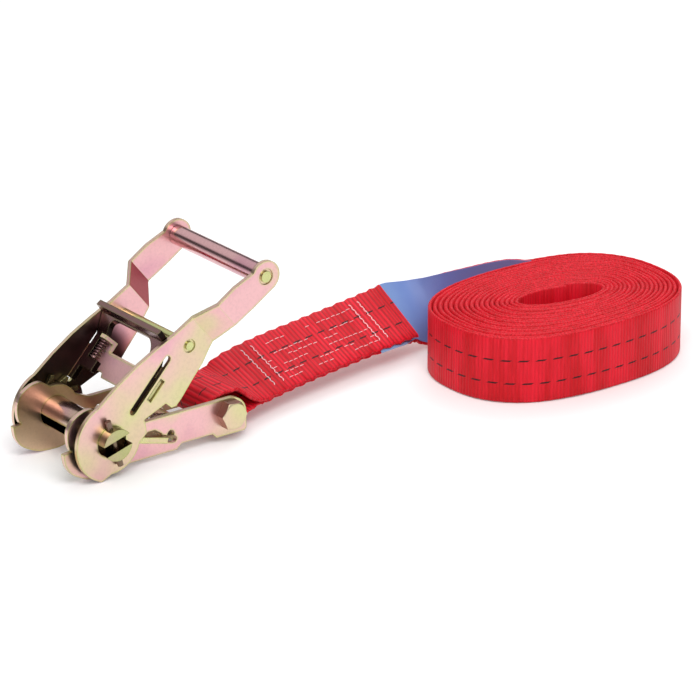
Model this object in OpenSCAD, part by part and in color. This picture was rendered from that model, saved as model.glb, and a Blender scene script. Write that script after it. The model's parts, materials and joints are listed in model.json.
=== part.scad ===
// Ratchet tie down: a folding ratchet buckle with a length of webbing sewn round its anchor bolt.
// The origin is the middle of the spindle's axis. +X runs from the spindle to the anchor bolt and on
// to the rolled webbing, Y is the spindle's axis and +Z is up.

/* [Webbing] */
// Width of the webbing
web_w = 35; // [25:1:50]
// Thickness of the webbing
web_t = 2; // [1.4:0.1:2.4]
// Thickness of the sewn-in label
label_t = 0.5; // [0.3:0.1:0.8]
// Width of the sewn-in label
label_w = 34.2; // [20:0.1:50]
// Length of the rolled-up webbing's oval
roll_length = 139; // [110:1:160]
// Breadth of the rolled-up webbing's oval
roll_breadth = 98; // [90:1:120]
// Length of the opening left in the middle of the roll
roll_hole_length = 46; // [30:1:60]
// Breadth of the opening left in the middle of the roll
roll_hole_breadth = 17; // [10:1:30]

/* [Frame] */
// Room that the webbing has between the frame's two side plates, over its own width
web_room = 5.5; // [3:0.5:10]
// Thickness of each frame side plate
frame_t = 2.5; // [2:0.1:3.5]
// Distance from the spindle's axis to the anchor bolt, along the frame
bolt_x = 72; // [66:1:88]
// Drop of the anchor bolt below the spindle's axis
bolt_drop = 4.9; // [3:0.1:7]
// Thickness of the web that ties the two side plates together
frame_web_t = 2.5; // [2:0.1:3.5]

/* [Spindle and gears] */
// Diameter of the split spindle
spindle_d = 16; // [14:0.5:18]
// Width of the slot between the spindle's two halves
slot_w = 5.6; // [3:0.1:6.5]
// Lean of the slot above the level, as the buckle lies
slot_angle = 15.8; // [0:0.1:30]
// Thickness of each ratchet gear
gear_t = 2.5; // [2:0.1:4]
// Tip radius of the ratchet gears
gear_tip_r = 17.5; // [16.5:0.1:17.8]
// Depth of the gears' teeth
tooth_depth = 3.7; // [3:0.1:4]
// Number of teeth
teeth = 12; // [12:1:12]
// Diameter of the pins that keep the spindle's halves in
spindle_pin_d = 3; // [2:0.1:4]

/* [Handle] */
// Distance from the spindle's axis to the grip's axis
handle_l = 107.7; // [100:0.5:130]
// Lift of the handle above the level, as the buckle lies
handle_angle = 38.6; // [35:0.1:60]
// Thickness of each handle side plate
handle_t = 2; // [1.6:0.1:3]
// Sideways step of each side plate towards the grip
joggle = 9.6; // [4:0.1:14]
// Diameter of the grip tube
grip_d = 10; // [9:0.5:14]
// Diameter of the grip's rivet
grip_rivet_d = 4.5; // [4:0.5:7]
// Diameter of the handle's spacer rod
spacer_d = 5; // [4:0.5:7]

/* [Pawls] */
// Thickness of the two pawl plates
pawl_t = 3; // [2:0.1:3.2]
// Travel of each pawl away from the gears
pawl_travel = 5; // [4:0.5:5.5]
// Wire diameter of the pawl springs
spring_wire = 0.8; // [0.6:0.1:1]
// Outer diameter of the frame pawl's spring
frame_spring_d = 11; // [7.6:0.1:12]
// Outer diameter of the handle pawl's two springs
handle_spring_d = 5; // [4:0.1:5.2]

/* [Anchor bolt] */
// Thread diameter of the anchor bolt
bolt_d = 8; // [6:1:10]
// Width across the flats of its head and nut
hex_af = 13; // [10:1:16]
// Height of its head and nut
hex_h = 5.7; // [4:0.1:8]
// Outer diameter of the sleeve round the bolt
sleeve_d = 13; // [12.5:0.5:15]

/* [Hidden] */

// Clearances
fit_gap = 0.05;   // running fit of a shaft in its bore, on the radius
side_gap = 0.3;   // between plates that slide past each other
soft_gap = 0.3;   // between webbing and metal
eps = 0.01;       // overshoot of cutting bodies

// Stack of plates, as distances from the middle plane
frame_in = (web_w + web_room) / 2;
frame_out = frame_in + frame_t;
gear_in = frame_out + side_gap;
gear_out = gear_in + gear_t;
handle_in = gear_out + 0.35;
handle_out = handle_in + handle_t;
grip_in = handle_in + joggle;
grip_out = grip_in + handle_t;

// Spindle
spindle_r = spindle_d / 2;
pin_y = handle_out + side_gap + 0.1 + spindle_pin_d / 2;
spindle_end = pin_y + spindle_pin_d / 2 + 2.1;
pin_length = 2 * spindle_r + 9;

// Frame
rim_r = gear_tip_r + 1.85;
floor_z = -rim_r;
bolt_z = -bolt_drop;
arm_top = 2.8;
arm_end = bolt_x + 10.5;
arm_round = 9.5;
hub_r = gear_tip_r - tooth_depth - 0.3;   // low where the handle's pawl works, so that it meets the gears
// Rim of the hub: angle and lift over the rim's radius, above and below the release notch
lobe_upper = [[100, hub_r - rim_r], [107, -3.6], [114, -0.6], [127, 1.5], [145, 3.8], [158, 3.8], [177, 1.9], [184, 0.9]];
lobe_lower = [[186, 4.8], [201, 5.2], [214, 4.6], [226, 3], [244, 1.4],
    [252, 0.6], [262, 0.1], [270, 0]];

// Pawls, as distances from the spindle's axis along each pawl
frame_pawl_angle = -14.5;
frame_nose = gear_tip_r - tooth_depth + 0.5;
frame_pawl_body = 25;
frame_pawl_back = 36;
frame_spring_foot = frame_pawl_back + 0.2;
frame_web_u = 52;
pawl_angle = 8.2;      // of the handle pawl's slot, from the handle's own line
pawl_offset = -0.6;    // of that slot from a line through the spindle's axis
pawl_nose = gear_tip_r + 0.3;
pawl_body = rim_r + 5.85;
pawl_ear_end = 37;
pawl_bend = 43;
pocket_low = 31;
pocket_high = 44.6;
pocket_y = frame_in - 1.45;
window_half = frame_in - 6.75;
window_wide = frame_in - 2.6;   // the window's half width past the springs' ledges
window_end = 52;
spring_seat = 42;
lug_t = 2;
lug_w = 4;
// Middle line of each spring lug, in the handle pawl's own frame
lug_line = [[36.6, -6.6], [38.6, -5.2], [spring_seat + lug_t / 2, -5.2], [spring_seat + lug_t / 2, 2.6]];
slot_start = 16;
slot_end = 48.8;

// Handle, in its own frame: x along the line from the spindle to the grip, z across it
joggle_start = handle_l - 37.2;
joggle_end = handle_l - 26.3;
grip_end_r = 8;
spacer_at = [handle_l - 48.3, 1.1];
rivet_sink = 0.7;      // depth of the ring sunk round each rivet's head
rivet_ring = 1.1;      // width of that ring
spacer_tenon_d = spacer_d - 1.6;
spacer_head_r = spacer_tenon_d / 2 + 0.5;
grip_head_r = grip_rivet_d / 2 + 0.6;
ear_out = handle_in + 0.8;   // the pawl's ears and the web's tabs end inside the side plates
web_top = [38.6, -0.6];
web_foot = [30, -7];
web_tongue = [28, -8.5];
tab_at = [26.9, -5.7];   // lower corner of the web's tab, in the handle pawl's own frame
tab_l = 10.4;
tab_t = 1.5;
tab_reach = 3.2;
handle_web_t = 2.2;

// Route of the sewn webbing: middle point and tilt, near edge down
loop_r = sleeve_d / 2 + soft_gap;
eye_x = bolt_x + 9;
eye_layers = [
    [eye_x, 0, bolt_z, 0, loop_r + web_t / 2],
    [bolt_x + 14, 0.9, bolt_z + 0.4, 9, 5.2],
    [bolt_x + 19, 1.8, bolt_z + 1.2, 19, 2.6],
    [bolt_x + 25, 3, bolt_z + 2.4, 28, web_t / 2]];
seam_route = [
    [bolt_x + 25, 3, bolt_z + 2.4, 28],
    [bolt_x + 40, 6, -1.4, 30],
    [bolt_x + 58, 9.4, -0.8, 30],
    [bolt_x + 78, 12.8, -0.5, 29.5],
    [bolt_x + 100, 16.4, -0.2, 30],
    [bolt_x + 121, 19.6, 0, 32],
    [bolt_x + 141, 23, 0, 38]];

// Roll of webbing, standing on its edge: an oval with slightly squared ends, and its own opening
roll_at = [bolt_x + 192.9, -36.7];
roll_square = 2.5;
roll_hole_at = [bolt_x + 196.5, -36.5];
roll_hole_turn = -8;
roll_step = 68;       // angle at which the lead joins the roll as its outer turn
roll_z = floor_z;
lead_end_z = floor_z + web_w / 2;

zinc_pink = [0.86, 0.72, 0.70];
zinc_green = [0.80, 0.80, 0.60];
zinc_dark = [0.62, 0.52, 0.46];
webbing_red = [0.86, 0.10, 0.14];
label_blue = [0.36, 0.44, 0.72];

// ---------- helpers ----------

// A plate of the side view's outline, from y outwards to y + t on the near side
module plate(y, t)
    translate([0, -y, 0])
    rotate([90, 0, 0])
    linear_extrude(t)
    children();

// A body of the side view's outline, centred across the buckle
module across(width)
    translate([0, width / 2, 0])
    rotate([90, 0, 0])
    linear_extrude(width)
    children();

// A shaft along Y, centred across the buckle
module shaft(r, width)
    rotate([90, 0, 0])
    cylinder(r = r, h = width, center = true, $fn = 64);

module far() mirror([0, 1, 0]) children();
module onHandle() rotate([0, -handle_angle, 0]) children();
module onHandlePawl() onHandle() rotate([0, -pawl_angle, 0]) translate([0, 0, pawl_offset]) children();
module onFramePawl() rotate([0, -frame_pawl_angle, 0]) children();

function unit(v) = v / norm(v);
function polar(r, a) = [r * cos(a), r * sin(a)];

// Outline of a bent sheet: the middle line's points, moved half the thickness to each side
function sideStep(p, i) =
    let (a = i > 0 ? unit(p[i] - p[i - 1]) : unit(p[1] - p[0]))
    let (b = i < len(p) - 1 ? unit(p[i + 1] - p[i]) : a)
    let (m = unit(a + b))
    [-m[1], m[0]] / (m * a);
function sheetOutline(p, t) = concat(
    [for (i = [0 : len(p) - 1]) p[i] + sideStep(p, i) * t / 2],
    [for (i = [len(p) - 1 : -1 : 0]) p[i] - sideStep(p, i) * t / 2]);

// Slot with round ends, from one point to another
module slotShape(from, to, w) {
    along = to - from;
    translate(from)
    rotate(atan2(along[1], along[0])) {
        translate([0, -w / 2]) square([norm(along), w]);
        circle(d = w, $fn = 32);
        translate([norm(along), 0]) circle(d = w, $fn = 32);
    }
}

// Coil spring along X: a round wire swept round its turns
module coil(length, outer_d, wire, turns) {
    per_turn = 12;
    sides = 6;
    rings = turns * per_turn;
    mid_r = (outer_d - wire) / 2;
    rise = length - wire;
    function ringPoint(i, j) =
        let (a = 360 * i / per_turn)
        let (b = 360 * j / sides)
        let (r = mid_r + wire / 2 * cos(b))
        [wire / 2 + rise * i / rings + wire / 2 * sin(b), r * cos(a), r * sin(a)];
    points = [for (i = [0 : rings]) for (j = [0 : sides - 1]) ringPoint(i, j)];
    walls = [for (i = [0 : rings - 1]) for (j = [0 : sides - 1]) let (k = (j + 1) % sides)
        [i * sides + j, (i + 1) * sides + j, (i + 1) * sides + k, i * sides + k]];
    first = [for (j = [0 : sides - 1]) j];
    last = [for (j = [sides - 1 : -1 : 0]) rings * sides + j];
    polyhedron(points, concat(walls, [first, last]), convexity = 10);
}

// Flat webbing along a route of [x, y, z, tilt, ...], between two heights over its middle
function place(r, i) = [r[i][0], r[i][1], r[i][2]];
function heading(r, i) = unit(place(r, min(i + 1, len(r) - 1)) - place(r, max(i - 1, 0)));
function sideways(r, i, t) =
    let (w = [0, cos(r[i][3]), sin(r[i][3])])
    unit(w - (w * t) * t);
function ribbonRing(r, i, w, low, high, t) =
    let (s = sideways(r, i, t))
    let (n = cross(t, s))
    [place(r, i) - s * w / 2 + n * low, place(r, i) + s * w / 2 + n * low,
        place(r, i) + s * w / 2 + n * high, place(r, i) - s * w / 2 + n * high];
module ribbonBody(rings) {
    n = len(rings);
    points = [for (ring = rings) for (p = ring) p];
    // Both faces of the webbing split along the same diagonal, so that a turned strip keeps its thickness
    split = [for (i = [0 : n - 2]) for (j = [0 : 3])
        let (k = (j + 1) % 4, a = i * 4 + j, b = i * 4 + k, c = b + 4, d = a + 4)
        each j < 2 ? [[a, b, c], [a, c, d]] : [[a, b, d], [b, c, d]]];
    ends = [[3, 2, 1, 0], [(n - 1) * 4, (n - 1) * 4 + 1, (n - 1) * 4 + 2, (n - 1) * 4 + 3]];
    polyhedron(points, concat(split, ends), convexity = 4);
}
module ribbon(r, w, low, high)
    ribbonBody([for (i = [0 : len(r) - 1]) ribbonRing(r, i, w, low, high, heading(r, i))]);

// ---------- frame ----------

module frameOutline() {
    circle(r = hub_r, $fn = 96);
    intersection() {
        circle(r = rim_r, $fn = 96);
        translate([-2 * rim_r, -2 * rim_r]) square([4 * rim_r, 2 * rim_r]);
    }
    for (lobe = [lobe_upper, lobe_lower]) {
        first = lobe[0][0];
        last = lobe[len(lobe) - 1][0];
        steps = ceil((last - first) / 4);
        edge = [for (i = [0 : steps]) let (a = first + (last - first) * i / steps)
            polar(rim_r + lookup(a, lobe), a)];
        polygon(concat([[0, 0]], edge));
    }
    polygon([[0, -16.2], [41, -16.2], [44, -13.7], [bolt_x - 9.6, -13.7], [bolt_x - 7.4, -16.2],
        [arm_end - 1.2, -16.2], [arm_end, -15], [arm_end, arm_top - arm_round],
        [arm_end - arm_round, arm_top - arm_round], [arm_end - arm_round, arm_top], [20, arm_top],
        [13, arm_top + 3], [0, arm_top + 3]]);
    translate([arm_end - arm_round, arm_top - arm_round]) circle(r = arm_round, $fn = 64);
}
module framePlate()
    difference() {
        plate(frame_in, frame_t)
        difference() {
            frameOutline();
            circle(r = spindle_r + fit_gap, $fn = 64);
            translate([bolt_x, bolt_z]) circle(d = bolt_d + 2 * fit_gap, $fn = 64);
        }
        onFramePawl()
        plate(frame_in - eps, frame_t + 2 * eps)
        {
            slotShape([22.5, 0], [frame_pawl_back + pawl_travel - 0.4, 0], pawl_t + 2 * side_gap);
            polygon([[22.5, 0], [33.6, 0], [33, 2.6], [28.4, 4.4], [24.2, 3.4]]);
            translate([38.3, 2.4]) circle(r = 2.1, $fn = 32);
        }
    }
module frame_plate_near() color(zinc_pink) framePlate();
module frame_plate_far() color(zinc_pink) far() framePlate();

// Web between the side plates, folded up behind the frame pawl's spring
module frame_web()
    color(zinc_green)
    onFramePawl()
    difference() {
        union() {
            translate([frame_web_u, -frame_in, -0.6]) cube([frame_web_t, 2 * frame_in, 6.1]);
            translate([frame_web_u, -frame_spring_d, -5.5]) cube([frame_web_t, 2 * frame_spring_d, 11]);
            for (s = [-1, 1])
                translate([frame_web_u - 6, s * (frame_in - frame_web_t / 2) - frame_web_t / 2, -0.6])
                cube([6, frame_web_t, 4.6]);
        }
        rotate([0, 90, 0]) cylinder(r = frame_spring_d / 2 - spring_wire - 0.6, h = 80, $fn = 48);
    }

// Frame pawl: a flat plate through both side plates, with a nose at each gear and a spring tongue
module framePawlOutline() {
    polygon([[frame_pawl_body, -frame_in + 0.5], [frame_pawl_body, frame_in - 0.5],
        [22.9, frame_in - 0.5], [22.9, gear_in], [frame_nose, gear_in], [frame_nose, gear_out],
        [frame_pawl_back - 1, gear_out], [frame_pawl_back, gear_out - 1], [frame_pawl_back, 2.4],
        [41, 2.4], [41, -2.4], [frame_pawl_back, -2.4], [frame_pawl_back, -gear_out + 1],
        [frame_pawl_back - 1, -gear_out], [frame_nose, -gear_out], [frame_nose, -gear_in],
        [22.9, -gear_in], [22.9, -frame_in + 0.5]]);
}
module frame_pawl()
    color(zinc_dark)
    onFramePawl()
    translate([0, 0, -pawl_t / 2])
    linear_extrude(pawl_t)
    framePawlOutline();

module frame_pawl_spring()
    color(zinc_dark)
    onFramePawl()
    translate([frame_spring_foot, 0, 0])
    coil(frame_web_u - frame_spring_foot - 0.2, frame_spring_d, spring_wire, 6);

// ---------- anchor bolt ----------

module hex(h) rotate([90, 0, 0]) cylinder(d = hex_af / cos(30), h = h, $fn = 6);
module atBolt() translate([bolt_x, 0, bolt_z]) children();

module anchor_bolt()
    color(zinc_pink)
    atBolt() {
        translate([0, -frame_out, 0]) rotate([0, 25, 0]) hex(hex_h);
        translate([0, frame_out + hex_h + 2, 0]) rotate([90, 0, 0])
            cylinder(d = bolt_d, h = 2 * frame_out + hex_h + 3, $fn = 64);
    }
module anchor_nut()
    color(zinc_pink)
    atBolt()
    translate([0, frame_out + hex_h, 0])
    difference() {
        rotate([0, 10, 0]) hex(hex_h);
        shaft(bolt_d / 2 + fit_gap, 4 * hex_h);
    }
module bolt_sleeve()
    color(zinc_green)
    atBolt()
    difference() {
        shaft(sleeve_d / 2, 2 * frame_in - side_gap);
        shaft(bolt_d / 2 + fit_gap, 3 * frame_in);
    }

// ---------- spindle ----------

module halfMoon(r, cut)
    intersection() {
        circle(r = r, $fn = 64);
        translate([-2 * r, cut]) square([4 * r, 2 * r]);
    }
module spindleHalf()
    difference() {
        across(2 * spindle_end) halfMoon(spindle_r, slot_w / 2);
        for (s = [-1, 1])
            translate([0, s * pin_y, 0]) cylinder(d = spindle_pin_d + 2 * fit_gap, h = 3 * spindle_r, $fn = 32);
    }
module onSpindle() rotate([0, -slot_angle, 0]) children();
module spindle_half_upper() color(zinc_pink) onSpindle() spindleHalf();
module spindle_half_lower() color(zinc_pink) onSpindle() rotate([0, 180, 0]) spindleHalf();

// One tooth of the gear: a steep driving side and a sloping back
module gearOutline() {
    root_r = gear_tip_r - tooth_depth;
    pitch = 360 / teeth;
    edge = [for (i = [0 : teeth - 1])
        let (a = frame_pawl_angle + i * pitch)
        each [polar(root_r, a - 7), polar(root_r, a + 7), polar(gear_tip_r, a + 8), polar(gear_tip_r, a + 14)]];
    polygon(edge);
}
module gear()
    plate(gear_in, gear_t)
    difference() {
        gearOutline();
        rotate(slot_angle)
        for (s = [0, 180])
            rotate(s) halfMoon(spindle_r + fit_gap, slot_w / 2 - fit_gap);
    }
module gear_near() color(zinc_green) gear();
module gear_far() color(zinc_green) far() gear();

module spindlePin()
    onSpindle()
    translate([0, -pin_y, -pin_length / 2])
    cylinder(d = spindle_pin_d, h = pin_length, $fn = 32);
module spindle_pin_near() color(zinc_dark) spindlePin();
module spindle_pin_far() color(zinc_dark) far() spindlePin();

// ---------- handle ----------

module handleOutline() {
    eye_r = rim_r + 0.65;
    circle(r = eye_r - 3.5, $fn = 96);
    intersection() {
        circle(r = eye_r, $fn = 96);
        rotate(-handle_angle) polygon([[40, 16], [-40, 60], [-40, -60], [-7, -19.5], [3, -15]]);
    }
    polygon([[0, 0], [16.5, -6], [32, -10.4], [32.6, -14.8], [35, -16.3], [39.5, -15.8], [48.4, -13.8],
        [58.8, -11.8], [joggle_start - 5, -9.3], [joggle_start + 3, -7], [joggle_end - 1, -4.6],
        [handle_l - 14, -6.6], [handle_l, -grip_end_r], [handle_l - 4, 7.2], [handle_l - 15, 10.2],
        [joggle_end, 11.3], [joggle_start, 10.3], [58.5, 12.2], [46, 15.2], [33.5, 17.6], [20, 18.9],
        [6, 19.1]]);
    translate([handle_l, 0]) circle(r = grip_end_r, $fn = 64);
}
module handlePlate()
    difference() {
        intersection() {
            plate(handle_in, grip_out - handle_in) handleOutline();
            translate([0, 0, -60])
            linear_extrude(120)
            polygon([[-40, -handle_in], [joggle_start, -handle_in], [joggle_end, -grip_in],
                [handle_l + 30, -grip_in], [handle_l + 30, -grip_out], [joggle_end - 0.9, -grip_out],
                [joggle_start - 0.9, -handle_out], [-40, -handle_out]]);
        }
        shaft(spindle_r + fit_gap, 80);
        translate([spacer_at[0], 0, spacer_at[1]]) shaft(spacer_tenon_d / 2 + fit_gap, 80);
        translate([handle_l, 0, 0]) shaft(grip_rivet_d / 2 + fit_gap, 90);
        plate(handle_out - rivet_sink, 3) translate(spacer_at) circle(r = spacer_head_r + rivet_ring, $fn = 64);
        plate(grip_out - rivet_sink, 3) translate([handle_l, 0]) circle(r = grip_head_r + rivet_ring, $fn = 64);
        rotate([0, -pawl_angle, 0])
        translate([0, 0, pawl_offset])
        plate(handle_in - eps, handle_t + 2 * eps) {
            slotShape([slot_start + pawl_t / 2, 0], [slot_end - pawl_t / 2, 0], pawl_t + 2 * side_gap);
            translate(tab_at - [0.8, 0.4]) square([tab_l + 1.6, tab_t + 1.5]);
        }
    }
module handle_plate_near() color(zinc_pink) onHandle() handlePlate();
module handle_plate_far() color(zinc_pink) onHandle() far() handlePlate();

// Web of the handle: a slanting plate with two spring lugs, and a tab beside each pawl slot
module handle_web()
    color(zinc_green)
    onHandle() {
        across(2 * handle_in) polygon(sheetOutline([web_top, web_foot], handle_web_t));
        across(2 * frame_in - 2) polygon(sheetOutline([web_top, web_tongue], handle_web_t));
        for (s = [-1, 1])
            translate([0, s * pocket_y, 0])
            rotate([0, -pawl_angle, 0])
            translate([0, 0, pawl_offset])
            across(lug_w) polygon(sheetOutline(lug_line, lug_t));
        rotate([0, -pawl_angle, 0])
        translate([0, 0, pawl_offset])
        for (s = [-1, 1])
            translate([0, s * (ear_out - tab_reach / 2), 0])
            across(tab_reach) translate(tab_at) square([tab_l, tab_t]);
    }
module handle_spacer()
    color(zinc_green)
    onHandle()
    translate([spacer_at[0], 0, spacer_at[1]]) {
        shaft(spacer_d / 2, 2 * handle_in);
        shaft(spacer_tenon_d / 2, 2 * handle_out);
        for (s = [-1, 1])
            translate([0, s * (handle_out - rivet_sink / 2 + 0.2), 0]) shaft(spacer_head_r, rivet_sink + 0.4);
    }

// Handle pawl: a bent plate with a nose at each gear, an ear in each slot and a finger lip
module handlePawlFace() {
    half = [[pawl_nose, gear_in], [pawl_nose, ear_out], [pawl_ear_end, ear_out],
        [pawl_ear_end, gear_out], [62, gear_out]];
    polygon(concat(half, [[62, -gear_out]], [for (i = [len(half) - 2 : -1 : 0]) [half[i][0], -half[i][1]]],
        [[pawl_body, -gear_in], [pawl_body, gear_in]]));
}
module handlePawlWindow() {
    corner = 5;
    translate([pawl_body - 5, -window_half]) square([pocket_low - pawl_body + 6, 2 * window_half]);
    translate([pocket_low, -window_wide]) square([window_end - corner - pocket_low, 2 * window_wide]);
    translate([pocket_high, -window_wide + corner])
        square([window_end - pocket_high, 2 * (window_wide - corner)]);
    for (s = [-1, 1])
        translate([window_end - corner, s * (window_wide - corner)]) circle(r = corner, $fn = 48);
}
module handle_pawl()
    color(zinc_dark)
    onHandlePawl()
    difference() {
        intersection() {
            across(2 * handle_out) polygon(sheetOutline([[pawl_nose, 0], [pawl_bend, 0], [54, 5.2], [55.4, 11.4]], pawl_t));
            translate([0, 0, -30]) linear_extrude(60) handlePawlFace();
        }
        translate([0, 0, -30]) linear_extrude(60) handlePawlWindow();
        for (s = [-1, 1])
            translate([pocket_low, s * pocket_y - handle_spring_d / 2 - 0.3, -30])
            cube([pocket_high - pocket_low, handle_spring_d + 0.6, 60]);
    }

module pawlSpring()
    onHandlePawl()
    translate([pocket_low + 0.2, -pocket_y, 0])
    coil(spring_seat - pocket_low - 0.4, handle_spring_d, spring_wire, 5);
module pawl_spring_near() color(zinc_dark) pawlSpring();
module pawl_spring_far() color(zinc_dark) far() pawlSpring();

module atGrip() onHandle() translate([handle_l, 0, 0]) children();
module grip_tube()
    color(zinc_pink)
    atGrip()
    difference() {
        shaft(grip_d / 2, 2 * grip_in - side_gap);
        shaft(grip_rivet_d / 2 + fit_gap, 3 * grip_in);
    }
module grip_rivet()
    color(zinc_green)
    atGrip() {
        shaft(grip_rivet_d / 2, 2 * grip_out);
        for (s = [-1, 1])
            translate([0, s * (grip_out - rivet_sink / 2 + 0.2), 0]) shaft(grip_head_r, rivet_sink + 0.4);
    }

// ---------- webbing ----------

// The loop round the sleeve, open towards the seam
module strap_loop()
    color(webbing_red)
    atBolt()
    across(web_w)
    difference() {
        union() {
            circle(r = loop_r + web_t, $fn = 64);
            translate([0, -loop_r - web_t]) square([eye_x - bolt_x, 2 * (loop_r + web_t)]);
        }
        circle(r = loop_r, $fn = 64);
        translate([0, -loop_r]) square([2 * eye_x, 2 * loop_r]);
    }

// The loop's two layers come together
module strapEye(side) {
    n = len(eye_layers);
    ribbonBody([for (i = [0 : n - 1])
        let (mid = side * eye_layers[i][4])
        ribbonRing(eye_layers, i, web_w, mid - web_t / 2, mid + web_t / 2,
            i == 0 ? [1, 0, 0] : i == n - 1 ? heading(seam_route, 0) : heading(eye_layers, i))]);
}
module strap_eye_upper() color(webbing_red) strapEye(1);
module strap_eye_lower() color(webbing_red) strapEye(-1);

// The two layers run on as the sewn seam
module strap_seam() color(webbing_red) ribbon(seam_route, web_w, -web_t, web_t);

// Oval of the roll, less a depth, at an angle round it
function rollPoint(a, depth) =
    let (x = (roll_length / 2 - depth) * cos(a))
    let (y = (roll_breadth / 2 - depth) * sin(a))
    let (k = (pow(abs(cos(a)), roll_square) + pow(abs(sin(a)), roll_square)) ^ (-1 / roll_square))
    [roll_at[0] + x * k, roll_at[1] + y * k];
roll_pitch = web_t + label_t + 0.1;
step_out = rollPoint(roll_step, 0);
step_in = rollPoint(roll_step, roll_pitch);
step_way = unit(step_out - step_in);
lead_end = step_out - step_way * web_t / 2;
lead_heading = [step_way[1], -step_way[0]];
lead_near = lead_end - lead_heading * 6;
seam_end = seam_route[len(seam_route) - 1];
lead_route = [seam_end,
    [bolt_x + 147, 23.3, -1.4, 40],
    [bolt_x + 153, 22.4, -2.9, 48],
    [bolt_x + 159, 20.9, -3.3, 57],
    [bolt_x + 166, 19.2, -2.5, 66],
    [bolt_x + 174, 18, -1.95, 74],
    [bolt_x + 184, 17.4, -1.75, 80],
    [bolt_x + 196, 16.9, -1.7, 83],
    [bolt_x + 207, 15.1, -1.75, 87],
    [lead_near[0], lead_near[1], lead_end_z, 90],
    [lead_end[0], lead_end[1], lead_end_z, 90]];

// The lead: the lower layer runs on past the seam, turns on edge and joins the roll
function leadHeading(i) = i == 0 ? heading(seam_route, len(seam_route) - 1)
    : i >= len(lead_route) - 2 ? [lead_heading[0], lead_heading[1], 0] : heading(lead_route, i);
module strap_lead()
    color(webbing_red)
    ribbonBody([for (i = [0 : len(lead_route) - 1])
        let (last = i >= len(lead_route) - 2)
        ribbonRing(lead_route, i, web_w, last ? -web_t / 2 : -web_t, last ? web_t / 2 : 0, leadHeading(i))]);

// The rolled webbing: one closed body whose outer turn starts at the lead
module strap_roll() {
    steps = 90;
    outer = [for (i = [0 : steps]) rollPoint(roll_step - 360 * i / steps, roll_pitch * i / steps)];
    color(webbing_red)
    translate([0, 0, roll_z])
    linear_extrude(web_w)
    difference() {
        polygon(outer);
        translate(roll_hole_at)
        rotate(roll_hole_turn)
        polygon([for (i = [0 : 47]) [roll_hole_length / 2 * cos(7.5 * i), roll_hole_breadth / 2 * sin(7.5 * i)]]);
    }
}

// The label: sewn under the tail, on the inner side of the lead
module label()
    color(label_blue)
    ribbonBody([for (i = [0 : len(lead_route) - 2])
        let (last = i >= len(lead_route) - 2)
        let (low = last ? web_t / 2 + 0.1 : soft_gap)
        ribbonRing(lead_route, i, min(label_w, web_w), low, low + label_t, leadHeading(i))]);

frame_plate_near();
frame_plate_far();
frame_web();
frame_pawl();
frame_pawl_spring();
anchor_bolt();
anchor_nut();
bolt_sleeve();
spindle_half_upper();
spindle_half_lower();
gear_near();
gear_far();
spindle_pin_near();
spindle_pin_far();
handle_plate_near();
handle_plate_far();
handle_web();
handle_spacer();
handle_pawl();
pawl_spring_near();
pawl_spring_far();
grip_tube();
grip_rivet();
strap_loop();
strap_eye_upper();
strap_eye_lower();
strap_seam();
strap_lead();
strap_roll();
label();
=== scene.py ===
import bpy
import json
import math
import numpy as np
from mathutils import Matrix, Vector


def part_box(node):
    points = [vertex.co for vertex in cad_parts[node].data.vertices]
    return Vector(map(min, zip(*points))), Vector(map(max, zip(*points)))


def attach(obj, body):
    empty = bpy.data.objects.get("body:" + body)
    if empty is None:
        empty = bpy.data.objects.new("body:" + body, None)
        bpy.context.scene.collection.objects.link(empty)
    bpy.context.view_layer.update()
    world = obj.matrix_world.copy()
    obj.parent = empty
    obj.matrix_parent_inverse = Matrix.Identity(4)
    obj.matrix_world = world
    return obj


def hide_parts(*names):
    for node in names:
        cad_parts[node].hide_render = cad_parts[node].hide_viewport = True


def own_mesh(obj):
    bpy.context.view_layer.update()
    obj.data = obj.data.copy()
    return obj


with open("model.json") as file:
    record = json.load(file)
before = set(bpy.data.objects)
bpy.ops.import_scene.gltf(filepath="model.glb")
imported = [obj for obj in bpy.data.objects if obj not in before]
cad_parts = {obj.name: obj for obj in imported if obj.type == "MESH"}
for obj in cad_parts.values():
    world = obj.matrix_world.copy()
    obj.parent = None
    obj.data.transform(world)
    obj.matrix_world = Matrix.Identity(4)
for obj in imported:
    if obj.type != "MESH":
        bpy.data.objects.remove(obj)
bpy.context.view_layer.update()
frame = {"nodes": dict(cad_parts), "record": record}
nodes = frame["nodes"]
joints = {j["name"]: j for j in frame["record"]["behaviour"]["joints"]}
scene = bpy.context.scene
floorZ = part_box("strap_roll")[0].z
print("frame loaded:", len(nodes), "nodes, floor at", round(floorZ, 5))

# Camera: looks down at the buckle and the roll from the near left side

cameraView = {
    "target": (0.1447, -0.02427, 0.01065),
    "azimuth": 37.404,     # degrees, from +Y towards +X
    "elevation": 21.80,
    "distance": 2.179,
    "lens": 227.92,
}


def aimCamera(v):
    # forward = (sin a cos e, cos a cos e, -sin e); the camera stands at target - distance * forward
    a, e = math.radians(v["azimuth"]), math.radians(v["elevation"])
    forward = Vector((math.sin(a) * math.cos(e), math.cos(a) * math.cos(e), -math.sin(e)))
    camera = bpy.data.objects.new("camera", bpy.data.cameras.new("camera"))
    scene.collection.objects.link(camera)
    camera.data.lens = v["lens"]
    camera.data.sensor_width = 36
    camera.data.clip_end = 20
    camera.location = Vector(v["target"]) - forward * v["distance"]
    camera.rotation_mode = "QUATERNION"
    camera.rotation_quaternion = forward.to_track_quat("-Z", "Y")
    scene.camera = camera


aimCamera(cameraView)

# Shared tools for surfaces


def unitRows(a):
    return a / np.linalg.norm(a, axis=-1, keepdims=True)


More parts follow.
